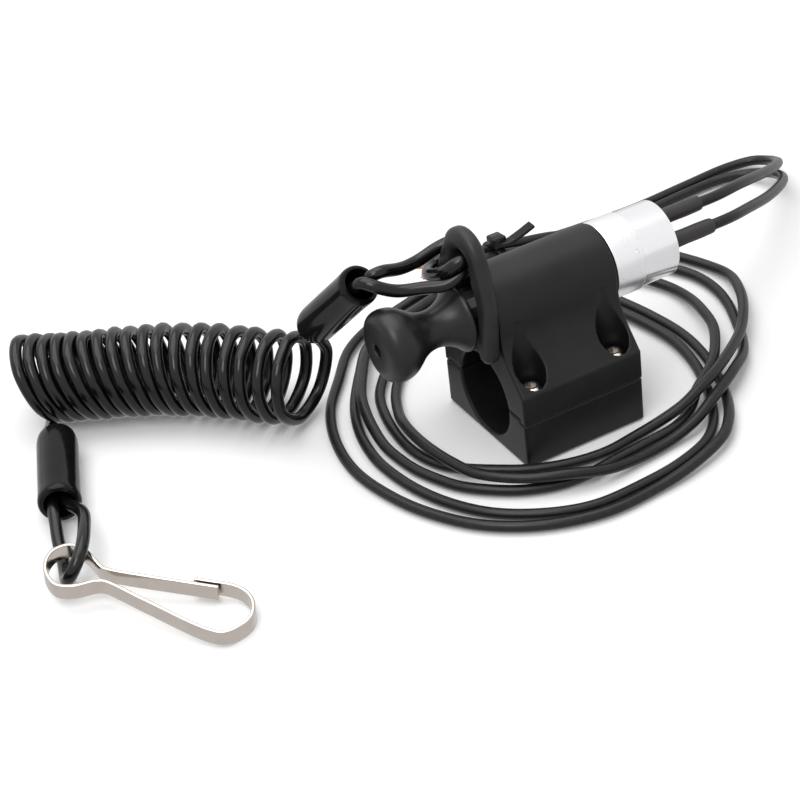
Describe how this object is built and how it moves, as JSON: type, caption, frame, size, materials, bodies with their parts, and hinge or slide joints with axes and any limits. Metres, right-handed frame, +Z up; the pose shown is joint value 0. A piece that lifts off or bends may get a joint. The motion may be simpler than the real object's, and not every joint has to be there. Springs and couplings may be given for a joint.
{
  "type": "engine kill switch",
  "caption": "Handlebar-clamp engine kill switch with a pull knob held out by a fork clip on a coiled lanyard with a snap hook, and two tied wires.",
  "frame": {"origin": "centre of the lower clamp's flat underside, on the surface that the part stands on", "axes": "+Z up, +Y along the handlebar towards the barrel and its wires, with the knob towards -Y; +X across the clamp"},
  "size_m": [0.1376, 0.2484, 0.0614],
  "materials": {
    "black_cast": "satin black coat on cast alloy",
    "bright_alloy": "turned and polished",
    "stainless": "turned",
    "black_plastic": "moulded",
    "black_rubber": "satin rubber",
    "brass": "plain",
    "wire_plastic": "smooth insulation",
    "copper": "bare copper strands",
    "clip_plastic": "moulded, matt",
    "cord_plastic": "glossy coiled cord",
    "nickel": "nickel plate"
  },
  "bodies": {
    "switch": {"upper_housing": "black_cast", "lower_clamp": "black_cast", "clamp_screw_1": "stainless", "clamp_screw_2": "stainless", "clamp_screw_3": "stainless", "clamp_screw_4": "stainless", "clamp_nut_1": "stainless", "clamp_nut_2": "stainless", "clamp_nut_3": "stainless", "clamp_nut_4": "stainless", "front_bush": "black_plastic", "return_spring": "stainless", "switch_barrel": "bright_alloy", "terminal_plate": "black_plastic", "contact_terminal_1": "brass", "contact_terminal_2": "brass", "rear_plug": "black_rubber", "shrink_sleeve_1": "black_rubber", "shrink_sleeve_2": "black_rubber", "wire_1": "wire_plastic", "wire_2": "wire_plastic", "wire_core_1": "copper", "wire_core_2": "copper", "cable_tie": "black_plastic"},
    "plunger": {"plunger_rod": "stainless", "pull_knob": "black_rubber", "spring_collar": "stainless", "retaining_ring": "stainless", "contact_disc": "brass", "disc_nut": "brass"},
    "clip": {"fork_clip": "clip_plastic", "clip_loop": "cord_plastic", "clip_end_sleeve": "black_rubber", "clip_crimp": "nickel", "clip_lead": "cord_plastic", "lanyard_coil": "cord_plastic", "hook_lead": "cord_plastic", "hook_end_sleeve": "black_rubber", "hook_crimp": "nickel", "hook_loop": "cord_plastic", "snap_hook": "nickel"}
  },
  "joints": [
    {"name": "knob_pull", "type": "slide", "parent": "switch", "child": "plunger", "axis": [0, -1, 0], "range_m": [0, 0.002], "stiffness_N_per_m": 300, "springref_m": -0.01, "deforming": ["return_spring"]},
    {"name": "clip_pull", "type": "slide", "parent": "switch", "child": "clip", "axis": [0.0958, 0, 0.9954], "range_m": [0, 0.03]}
  ]
}
